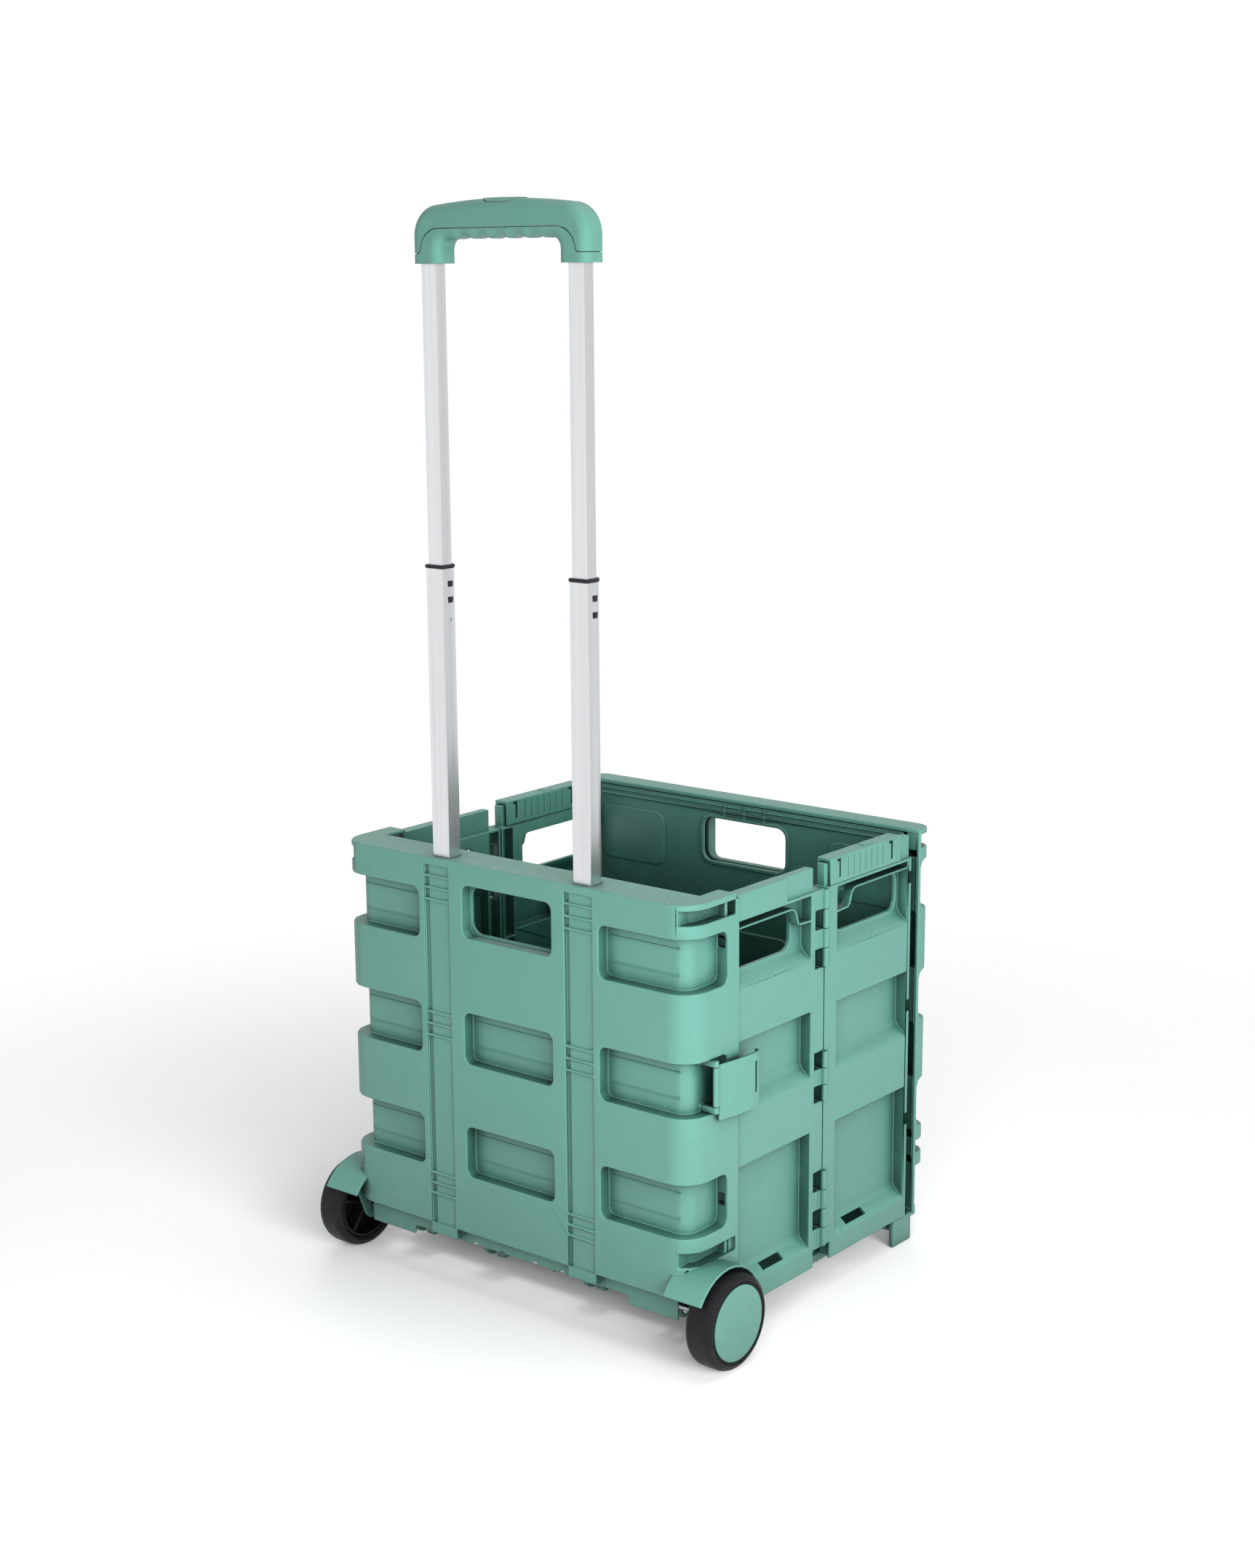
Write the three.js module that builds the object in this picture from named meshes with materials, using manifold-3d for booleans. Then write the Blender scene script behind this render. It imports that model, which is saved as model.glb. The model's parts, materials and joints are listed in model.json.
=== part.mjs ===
// Folding shopping trolley crate on two wheels, with a two-stage telescopic pull handle.
//
// Frame: millimetres, +Z up, +X to the right of the person who stands behind the handle wall, +Y from the
// rear (handle) wall to the front wall. The origin is on the ground, in the middle of the footprint. The
// pieces are drawn with y = 0 on the outer face of the rear wall, and the model is moved back at the end.
//
// The crate folds flat: each side wall is two halves on vertical hinges, which fold inwards in a V while the
// front wall travels back to the rear wall. The floor swings up against the rear wall first.

import * as THREE from 'three';
import { mergeVertices } from 'three/addons/utils/BufferGeometryUtils.js';
import Module from 'manifold-3d';

const wasm = await Module();
wasm.setup();

// ---- Driving dimensions -------------------------------------------------------------------------

const HALF_WIDTH = 203; // centre line to the outer face of an end wall's corner
const RIM_TOP = 409; // ground to the top of the rim
const RIM_THICKNESS = 4;
const SKIN = 3; // wall of the large mouldings
const RECESS = 12; // depth of the sunk boxes between the bands
const RECESS_RADIUS = 7; // corner radius of a sunk box
const GAP = 0.3; // working clearance between neighbouring pieces

const ROWS = [[115, 163], [223, 271], [332, 379]]; // heights of the three rows of sunk boxes

const REAR = { depth: 69, bottom: 60, radius: 25, recessEnd: 53.2, rimDepth: 40 };
const FRONT = { depth: 24, bottom: 28.5, radius: 16, recessEnd: 20.5, outerFace: 378 };

const REAR_HINGE = { x: 188, y: 60 };
const FRONT_HINGE = { x: 188, y: 345 };
const MID_HINGE = { x: 200.6, y: 202.5 };
const EARS = [[122, 132], [235, 245], [360, 370]]; // heights of the corner hinge ears
const HINGE_PIN_RADIUS = 1.5;

const SIDE_OUTER = 199.7; // outer face of the side walls' bands
const SIDE_BOTTOM = 28;
const SIDE_TOP = 384;
const RAIL_TOP = 405;

const WHEEL = { y: 27, z: 42.5, radius: 42.5, inner: 206.5, width: 28 };
const AXLE_RADIUS = 4;

const TUBE = { x: 82, y: 16.5 }; // axis of each handle tube
const LOWER = { half: 10, wall: 1, bottom: 349, top: 668 };
const UPPER = { half: 8.3, wall: 1, bottom: 618, top: 942 };
const SLEEVE = { half: 12, wall: 1.4, bottom: 62, top: 404.6 };

const GRIP = { half: 97, leg: 31, bottom: 928, top: 981, underside: 948, y0: 3, y1: 30 };
const PRESS = 3; // travel of the release button

// ---- Finishes -----------------------------------------------------------------------------------

const GREEN = { color: 0x74ab9c, roughness: 0.5, metalness: 0 };
const ALUMINIUM = { color: 0xcfd0d2, roughness: 0.35, metalness: 1 };
const BLACK = { color: 0x201e22, roughness: 0.55, metalness: 0 };
const RUBBER = { color: 0x232126, roughness: 0.7, metalness: 0 };
const STEEL = { color: 0xa8a9ab, roughness: 0.3, metalness: 1 };

// ---- Shapes -------------------------------------------------------------------------------------

// Points along an arc, angles in degrees.
function arc(u, v, radius, from, to, steps) {
  return Array.from({ length: steps + 1 }, (_, i) => {
    const angle = THREE.MathUtils.degToRad(from + (to - from) * i / steps);
    return [u + radius * Math.cos(angle), v + radius * Math.sin(angle)];
  });
}

function polygon(points) {
  return new THREE.Shape(points.map(([u, v]) => new THREE.Vector2(u, v)));
}

// A closed rectangle, with rounded corners when a radius is given.
function rectangle(u0, u1, v0, v1, radius = 0, steps = 2) {
  const [left, right] = [Math.min(u0, u1), Math.max(u0, u1)];
  if (radius === 0) return polygon([[left, v0], [right, v0], [right, v1], [left, v1]]);
  const r = Math.min(radius, (v1 - v0) / 2 - 0.1);
  return polygon([
    ...arc(right - r, v0 + r, r, -90, 0, steps),
    ...arc(right - r, v1 - r, r, 0, 90, steps),
    ...arc(left + r, v1 - r, r, 90, 180, steps),
    ...arc(left + r, v0 + r, r, 180, 270, steps),
  ]);
}

function circle(u, v, radius) {
  return new THREE.Shape().absarc(u, v, radius, 0, Math.PI * 2);
}

// A strip of constant thickness that follows a line of points.
function ribbon(points, thickness) {
  const left = [];
  const right = [];
  points.forEach(([u, v], i) => {
    const before = points[Math.max(i - 1, 0)];
    const after = points[Math.min(i + 1, points.length - 1)];
    const length = Math.hypot(after[0] - before[0], after[1] - before[1]);
    const across = [-(after[1] - before[1]) / length, (after[0] - before[0]) / length];
    left.push([u + across[0] * thickness / 2, v + across[1] * thickness / 2]);
    right.push([u - across[0] * thickness / 2, v - across[1] * thickness / 2]);
  });
  return polygon([...left, ...right.reverse()]);
}

// ---- Solids -------------------------------------------------------------------------------------

function solid(geometry) {
  const bare = geometry.clone();
  bare.deleteAttribute('normal');
  bare.deleteAttribute('uv');
  const merged = mergeVertices(bare, 1e-4);
  const vertProperties = merged.attributes.position.array;
  const triVerts = new Uint32Array(merged.index.array);
  return new wasm.Manifold(new wasm.Mesh({ numProp: 3, vertProperties, triVerts }));
}

function extruded(shape, depth, arcSteps) {
  return new THREE.ExtrudeGeometry(shape, { depth, bevelEnabled: false, curveSegments: arcSteps });
}

// A shape in X and Y, from z0 up to z1.
function alongZ(shape, z0, z1, arcSteps = 2) {
  return solid(extruded(shape, z1 - z0, arcSteps).translate(0, 0, z0));
}

// A shape in X and Z, from y0 to y1.
function alongY(shape, y0, y1, arcSteps = 2) {
  const turn = new THREE.Matrix4().makeBasis(
    new THREE.Vector3(1, 0, 0), new THREE.Vector3(0, 0, 1), new THREE.Vector3(0, -1, 0));
  return solid(extruded(shape, y1 - y0, arcSteps).applyMatrix4(turn).translate(0, y1, 0));
}

// A shape in Y and Z, from x0 to x1.
function alongX(shape, xa, xb, arcSteps = 2) {
  const [x0, x1] = [Math.min(xa, xb), Math.max(xa, xb)];
  const turn = new THREE.Matrix4().makeBasis(
    new THREE.Vector3(0, 1, 0), new THREE.Vector3(0, 0, 1), new THREE.Vector3(1, 0, 0));
  return solid(extruded(shape, x1 - x0, arcSteps).applyMatrix4(turn).translate(x0, 0, 0));
}

function block(x0, x1, y0, y1, z0, z1) {
  const [ya, yb] = [Math.min(y0, y1), Math.max(y0, y1)];
  const [xa, xb] = [Math.min(x0, x1), Math.max(x0, x1)];
  const box = new THREE.BoxGeometry(xb - xa, yb - ya, z1 - z0);
  return solid(box.translate((xa + xb) / 2, (ya + yb) / 2, (z0 + z1) / 2));
}

function rod(x, y, radius, z0, z1, arcSteps = 4) {
  return alongZ(circle(x, y, radius), z0, z1, arcSteps);
}

// A body of revolution about a line along X through the wheel's centre. Points are [radius, x].
function turnedAboutAxle(points, segments) {
  const outline = points.map(([r, x]) => new THREE.Vector2(r, x));
  const lathe = new THREE.LatheGeometry(outline, segments).rotateZ(-Math.PI / 2);
  return solid(lathe.translate(0, WHEEL.y, WHEEL.z));
}

function joined(first, ...others) {
  return others.reduce((whole, next) => whole.add(next), first);
}

function cut(first, ...others) {
  return others.reduce((whole, next) => whole.subtract(next), first);
}

// ---- Assembly -----------------------------------------------------------------------------------

const model = new THREE.Group();
const mirrored = new THREE.Group(); // everything in it is the mirror image of the right-hand piece
mirrored.scale.x = -1;
model.add(mirrored);

function place(name, shape, finish, parent = model) {
  const made = shape.getMesh();
  const geometry = new THREE.BufferGeometry();
  geometry.setAttribute('position', new THREE.BufferAttribute(made.vertProperties, 3));
  geometry.setIndex(new THREE.BufferAttribute(made.triVerts, 1));
  geometry.computeVertexNormals();
  const mesh = new THREE.Mesh(geometry, new THREE.MeshStandardMaterial(finish));
  mesh.name = name;
  parent.add(mesh);
  return mesh;
}

function placePair(name, shape, finish) {
  place(`${name}_right`, shape, finish);
  place(`${name}_left`, shape, finish, mirrored);
}

// ---- End walls ----------------------------------------------------------------------------------
// Both end walls are drawn with their outer face at y = 0 and their open side towards +Y.

// The tray's outline from above, shrunk by inset on its three closed sides.
function trayPlan(inset, open, radius, steps = 4) {
  const half = HALF_WIDTH - inset;
  const r = Math.max(radius - inset, 1);
  return polygon([
    [-half, open],
    ...arc(-half + r, inset + r, r, 180, 270, steps),
    ...arc(half - r, inset + r, r, 270, 360, steps),
    [half, open],
  ]);
}

// The space of a sunk box that starts on the main face and wraps round the corner on to the side return.
function cornerBox(side, [z0, z1], start, corner, { radius, recessEnd }, grow) {
  const r = grow > 0 ? 0 : corner;
  const [low, high] = [z0 - grow, z1 + grow];
  const face = alongY(rectangle(side * (start - grow), side * 260, low, high, r, 4), -60, 200);
  const round = alongX(rectangle(-60, recessEnd + grow, low, high, r), -260, 260);
  const core = alongZ(trayPlan(RECESS + grow, 240, radius, grow > 0 ? 2 : 4), z0 - 20, z1 + 20);
  return face.intersect(round).subtract(core);
}

const MIDDLE_BOX_HALF = 52;

function middleBox([z0, z1], grow) {
  const half = MIDDLE_BOX_HALF + grow;
  const r = grow > 0 ? 0 : RECESS_RADIUS;
  return alongY(rectangle(-half, half, z0 - grow, z1 + grow, r, 4), -10, RECESS + grow);
}

const CORNER_BOX_START = 105;
const CORNER_SLOTS = [[89, 101.5], [391, 403.5]]; // heights of the narrow pockets round the corners
const FOOT_POCKET = [FRONT.bottom - 10, 76]; // the front wall's corners step back over its feet
const CORNER_SLOT_START = 188;
const HAND_HOLE = { half: 50, z0: 343, z1: 387, radius: 10 };

// Two thin ribs along the face of each sunk box, at these depths below its top edge.
const BOX_RIBS = { drops: [10, 33], height: 1.2, proud: 0.7, end: 183 };

function boxRibs() {
  const y0 = RECESS - BOX_RIBS.proud;
  const rib = (x0, x1, z) => block(x0, x1, y0, RECESS + 0.5, z - BOX_RIBS.height, z);
  return ROWS.flatMap(([, top], i) => BOX_RIBS.drops.flatMap((drop) => [
    rib(CORNER_BOX_START + 4, BOX_RIBS.end, top - drop),
    rib(-CORNER_BOX_START - 4, -BOX_RIBS.end, top - drop),
    ...(i < 2 ? [rib(-48, 48, top - drop)] : []),
  ]));
}

// The banded shell: an outer skin with sunk boxes, hollow behind the bands.
function bandedTray(tray, pockets) {
  const { depth, bottom, radius } = tray;
  const outer = alongZ(trayPlan(0, depth, radius), bottom, RIM_TOP);
  const hollow = alongZ(trayPlan(SKIN, depth + 10, radius, 2), bottom + SKIN, RIM_TOP - RIM_THICKNESS);
  const boxes = (grow) => [
    ...[1, -1].flatMap((side) => [
      ...ROWS.map((row) => cornerBox(side, row, CORNER_BOX_START, RECESS_RADIUS, tray, grow)),
      ...pockets.map((row) => cornerBox(side, row, CORNER_SLOT_START, 0, tray, grow)),
    ]),
    ...ROWS.slice(0, 2).map((row) => middleBox(row, grow)),
    middleBox([HAND_HOLE.z0 - 2, HAND_HOLE.z1 + 2], grow),
  ];
  const { half, z0, z1 } = HAND_HOLE;
  const handHole = alongY(rectangle(-half, half, z0, z1, HAND_HOLE.radius, 4), -10, depth + 10);
  return joined(cut(outer, ...boxes(0), cut(hollow, ...boxes(SKIN)), handHole), ...boxRibs());
}

const CHANNEL = { inner: 68, outer: 98, back: 31.5, bottom: 49 };
const CHANNEL_RIBS = [403, 392, 381, 370, 264, 253, 242, 109, 99, 89];
const CHANNEL_RIB_HEIGHT = 2.5;

// One of the two box channels that carry the handle tubes, with the ribbed strip on its outer face.
function tubeChannel(side) {
  const { inner, outer, back, bottom } = CHANNEL;
  return joined(
    block(side * (inner - 2), side * (outer + 1), 0.5, back, REAR.bottom - 1, RIM_TOP - 1),
    block(side * (inner - 1), side * (outer + 0.5), 0.4, back, bottom, REAR.bottom),
  );
}

function channelRelief(side) {
  const strip = (z0, z1) => joined(
    block(side * CHANNEL.inner, side * CHANNEL.outer, -1, 1.6, z0, z1),
    block(side * TUBE.x - 15, side * TUBE.x - 10.8, -1, 3.3, z0, z1),
  );
  const edges = [RIM_TOP - 0.01, ...CHANNEL_RIBS, REAR.bottom];
  const strips = edges.slice(1).map((z, i) => {
    const top = edges[i] - (i === 0 ? 0 : CHANNEL_RIB_HEIGHT / 2);
    const low = z + (i === edges.length - 2 ? 0 : CHANNEL_RIB_HEIGHT / 2);
    return strip(low, top);
  });
  return joined(...strips.slice(1));
}

// Outline of a handle tube from above: flat towards the user, rounded on the crate side.
function tubeOutline(x, half) {
  const round = half * 0.8;
  const edge = half * 0.15;
  const y = TUBE.y;
  return polygon([
    ...arc(x + half - edge, y - half + edge, edge, -90, 0, 1),
    ...arc(x + half - round, y + half - round, round, 0, 90, 4),
    ...arc(x - half + round, y + half - round, round, 90, 180, 4),
    ...arc(x - half + edge, y - half + edge, edge, 180, 270, 1),
  ]);
}

function tube(centre, { half, wall, bottom, top }) {
  return alongZ(tubeOutline(centre, half), bottom, top)
    .subtract(alongZ(tubeOutline(centre, half - wall), bottom - 1, top + 1));
}

const CLASP = { x: 206, y: 32, pin: 1.3, z0: 216, z1: 266, low: 229.5, high: 264.5 };

function claspLug(z0, z1) {
  const arm = block(190, CLASP.x, CLASP.y - 3, CLASP.y + 3, z0, z1);
  const bore = rod(CLASP.x, CLASP.y, CLASP.pin + GAP, z0 - 1, z1 + 1, 3);
  return cut(joined(arm, rod(CLASP.x, CLASP.y, 3, z0, z1)), bore);
}

const FENDER = { inner: 45.5, thickness: 2.5, from: 183, to: 224, front: 8, back: 148 };
const FLOOR_HINGE = { y: 44, z: 28, radius: 5, pin: 2 };
const FLOOR_EARS = [60, 150];
const AXLE_HANGERS = [30, 120];

// The plate under each corner that carries the axle, and the mudguard over the wheel.
function wheelBracket(side) {
  const plate = polygon([
    [4, REAR.bottom + 6],
    ...arc(WHEEL.y, WHEEL.z, 13, 205, 335, 6),
    [64, REAR.bottom + 6],
  ]);
  const { inner, thickness, from, to, front, back } = FENDER;
  const line = arc(WHEEL.y, WHEEL.z, inner + thickness / 2, front, back, 12);
  const guard = alongX(ribbon(line, thickness), side * from, side * to)
    .subtract(alongZ(trayPlan(0.5, 120, REAR.radius), 0, 200));
  return joined(alongX(plate, side * (HALF_WIDTH - SKIN), side * HALF_WIDTH), guard);
}

function floorEar(x) {
  const { y, z, radius } = FLOOR_HINGE;
  const ear = polygon([
    [32, REAR.bottom + 1],
    ...arc(y - 4.5, z + 4, 7.5, 180, 235, 3),
    ...arc(y, z, radius, 240, 410, 8),
    [40.2, z + 12],
    [40.2, REAR.bottom + 1],
  ]);
  return alongX(ear, x - 2, x + 2).subtract(alongX(circle(y, z, FLOOR_HINGE.pin + GAP), x - 3, x + 3, 5));
}

// An ear that reaches in from the side return and holds a corner hinge pin.
function cornerEar(side, hinge, z0, z1) {
  const x = side * hinge.x;
  const arm = block(x, side * (HALF_WIDTH - 1), hinge.y - 3, hinge.y + 3, z0, z1);
  const bore = rod(x, hinge.y, HINGE_PIN_RADIUS + GAP, z0 - 1, z1 + 1, 3);
  return joined(arm, rod(x, hinge.y, 3, z0, z1)).subtract(bore);
}

// Square windows in the end wall of two corner boxes: the box's top, and the depths below it.
const WINDOWS = [{ top: ROWS[0][1], drops: [20, 31] }, { top: ROWS[2][1], drops: [4, 16] }];
const STIFFENER_X = 140;

// Everything on the rear wall that comes once on each side.
function rearWallSide(side) {
  const { recessEnd, bottom } = REAR;
  const stiffener = cut(
    block(side * STIFFENER_X - 1, side * STIFFENER_X + 1, 2, 36, bottom + 1, RIM_TOP - 2),
    ...ROWS.map(([z0, z1]) => block(-200, 200, -1, RECESS + 1, z0, z1)));
  const hanger = polygon([[14, bottom + 1], ...arc(WHEEL.y, WHEEL.z, 8, 200, 340, 3), [38, bottom + 1]]);
  return {
    openings: [
      ...WINDOWS.map(({ top, drops: [least, most] }) => block(
        side * 191.8, side * 199, recessEnd - 1, recessEnd + 5, top - most, top - least)),
      ...CORNER_SLOTS.map(([z0, z1]) => block(
        side * (HALF_WIDTH - SKIN - 0.1), side * (HALF_WIDTH + 1), recessEnd - 1, REAR.depth - 4, z0, z1)),
    ],
    pieces: [
      stiffener,
      ...EARS.map(([z0, z1]) => cornerEar(side, REAR_HINGE, z0, z1)),
      ...FLOOR_EARS.map((x) => floorEar(side * x)),
      ...AXLE_HANGERS.map((x) => alongX(hanger, side * x - 1.5, side * x + 1.5)),
      block(side * SKIRT.end, side * SKIRT.deepFrom, SKIRT.y, SKIRT.y + 2, SKIRT.deepBottom, bottom),
      wheelBracket(side),
    ],
  };
}

// The wall's lower edge: a strip set back from the face, with notches, and a deeper length near each wheel.
const SKIRT = { y: 8.5, bottom: 45.5, end: 183, deepFrom: 128, deepBottom: 37, notches: [-52, -20, 20, 52] };

function skirt() {
  const { y, bottom, end, notches } = SKIRT;
  return joined(
    cut(
      block(-end, end, y, y + 2, bottom, REAR.bottom + 1),
      ...notches.map((x) => block(x - 2.5, x + 2.5, y - 1, y + 3, bottom - 1, bottom + 2.2))),
    block(-end, end, 34, 36.5, 42, REAR.bottom + 1),
  );
}

function rearWall() {
  const rimCut = block(-183, 183, REAR.rimDepth, 80, 398, RIM_TOP + 1);
  const rimEnds = block(-210, 210, 66, 80, RIM_TOP - RIM_THICKNESS, RIM_TOP + 1);
  const floorCut = block(-183, 183, REAR.rimDepth, 80, 0, REAR.bottom + SKIN + 1);
  const sideCut = block(-HALF_WIDTH + SKIN, HALF_WIDTH - SKIN, 56, 80, 0, REAR.bottom + SKIN + 1);
  let wall = cut(bandedTray(REAR, CORNER_SLOTS), rimCut, rimEnds, floorCut, sideCut);
  for (const side of [1, -1]) {
    const { openings, pieces } = rearWallSide(side);
    const sleeveRoom = block(side * TUBE.x - 12.3, side * TUBE.x + 12.3, 4.2, 28.8, 61, 405);
    const mouth = alongZ(tubeOutline(side * TUBE.x, LOWER.half + 0.4), 400, 420);
    wall = cut(joined(wall, tubeChannel(side)), channelRelief(side), sleeveRoom, mouth, ...openings);
    wall = joined(wall, ...pieces);
  }
  const handRim = block(-183, 183, REAR.rimDepth - 2, REAR.rimDepth, 397, RIM_TOP - 1);
  wall = joined(wall, skirt(), handRim, claspLug(223.5, CLASP.low - GAP), claspLug(CLASP.high + GAP, 270.5));
  return cut(wall, alongX(circle(WHEEL.y, WHEEL.z, AXLE_RADIUS + GAP), -240, 240, 4));
}

// The front wall is drawn like the rear wall, then turned round: outer face at y = 0, open side towards +Y.
const FOOT = { x0: 193, x1: 198, y0: 19, y1: 51 };
const HOOK = { x: 195, radius: 5, thickness: 2.2, z0: 78, z1: 99 };
const FLOOR_REST = [22, 48, 15, 18.6]; // under the floor's front edge: y and z ranges

function frontWall() {
  const { depth, bottom } = FRONT;
  const hingeY = FRONT.outerFace - FRONT_HINGE.y;
  const pieces = [1, -1].flatMap((side) => [
    block(side * FOOT.x0, side * FOOT.x1, FOOT.y0, FOOT.y1, 0, bottom - 1),
    block(side * FOOT.x0, side * FOOT.x1, FOOT.y0 - 8, depth, bottom - 6, bottom + 4),
    block(side * 172, side * (FOOT.x0 + 1), ...FLOOR_REST),
    ...EARS.map(([z0, z1]) => joined(
      block(side * (FRONT_HINGE.x - 3), side * (FRONT_HINGE.x + 3), RECESS + 1.5, hingeY, z0, z1),
      rod(side * FRONT_HINGE.x, hingeY, 3, z0, z1))),
  ]);
  const { x, radius, thickness, z0, z1 } = HOOK;
  const hookLine = [[x + radius, 9], [x + radius, -6], ...arc(x, -8, radius, 0, -180, 6)];
  const bores = [1, -1].map((side) =>
    rod(side * FRONT_HINGE.x, hingeY, HINGE_PIN_RADIUS + GAP, 100, 395, 3));
  const tray = bandedTray(FRONT, [...CORNER_SLOTS, FOOT_POCKET]);
  return cut(joined(tray, ...pieces, alongZ(ribbon(hookLine, thickness), z0, z1)), ...bores);
}

// The flat panel clipped into the front wall from inside, with a raised pad behind each sunk box.
function frontLiner() {
  const [back, face] = [20.6, 22.6];
  const raised = (shape, height = 1.6) => alongY(shape, face - 0.1, face + height);
  const { half, z0, z1, radius } = HAND_HOLE;
  const pads = [
    ...ROWS.flatMap((row) => [1, -1].map((side) =>
      raised(rectangle(side * 100, side * 181, row[0] - 4, row[1] + 4, 10)))),
    ...ROWS.slice(0, 2).map((row) => raised(rectangle(-56, 56, row[0] - 4, row[1] + 4, 10))),
    raised(rectangle(-half - 4, half + 4, z0 - 4, z1 + 4, 14)),
    raised(rectangle(-181, 181, 394, 396)),
    raised(rectangle(-181, 181, 399.5, 401), 1.2),
    ...[-24, 0, 24].map((x) => raised(rectangle(x - 1, x + 1, z1 + 3, 404), 1.4)),
  ];
  const sheet = block(-184, 184, back, face, 34, 404);
  return joined(sheet, ...pads).subtract(alongY(rectangle(-half, half, z0, z1, radius, 4), 0, 40));
}

// ---- Side walls ---------------------------------------------------------------------------------
// Both halves of a side wall are drawn with one function. reach(d) is the y of a line at distance d along
// the rear half; the front half is its mirror image about the middle hinge.

const LEDGE = [[0, 13], [2, 8], [8, 3], [11.7, -1.5]];
const SIDE_RECESSED = 188; // outer face of the sunk fields
const SIDE_FIELDS = [[322, 381], [212, 274], [49, 160]];

// Section through a side wall, looking along Y: bands at SIDE_OUTER, sunk fields at SIDE_RECESSED.
function sideSection() {
  const outside = [[SIDE_OUTER, SIDE_TOP]];
  const inside = [[SIDE_RECESSED - SKIN, SIDE_TOP]];
  SIDE_FIELDS.forEach(([low, high], i) => {
    outside.push([SIDE_OUTER, high], [SIDE_RECESSED, high]);
    outside.push(...LEDGE.map(([x, z]) => [SIDE_RECESSED + x, low + z]));
    if (i > 0) inside.push([SIDE_OUTER - SKIN, high + SKIN], [SIDE_RECESSED - SKIN, high + SKIN]);
    inside.push(...LEDGE.map(([x, z]) => [SIDE_RECESSED - SKIN + x, low + z - SKIN * x / 11.7]));
  });
  outside.push([SIDE_OUTER, SIDE_BOTTOM]);
  inside.push([SIDE_OUTER - SKIN, SIDE_BOTTOM]);
  return polygon([...outside, ...inside.reverse()]);
}

const POST = { from: 182, to: 201.8 };
const KNUCKLE_GROUPS = [
  { z0: 312, z1: 383.6, count: 4, top: 'rear' },
  { z0: 186, z1: 233, count: 3, top: 'front' },
  { z0: 46, z1: 119, count: 4, top: 'front' },
];
const MID_PIN_RADIUS = 1.2;
const BARREL = 3.2;

// The height ranges of the hinge barrels that belong to one half.
function barrelsOf(half) {
  return KNUCKLE_GROUPS.flatMap(({ z0, z1, count, top }) => {
    const pitch = (z1 - z0) / count;
    const owner = (i) => ((i % 2 === 0) === (top === 'rear') ? 'rear' : 'front');
    return Array.from({ length: count }, (_, i) => i)
      .filter((i) => owner(i) === half)
      .map((i) => [z1 - (i + 1) * pitch + GAP / 2, z1 - i * pitch - GAP / 2]);
  });
}

const OPENING = {
  rear: { y0: 72, y1: 163, z0: 335, z1: 372, radius: 9 },
  front: { y0: 234, y1: 334, z0: 335, z1: 372, radius: 9 },
};
const FLOOR_SLOT = { rear: [115, 146], front: [247, 280] };

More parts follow.
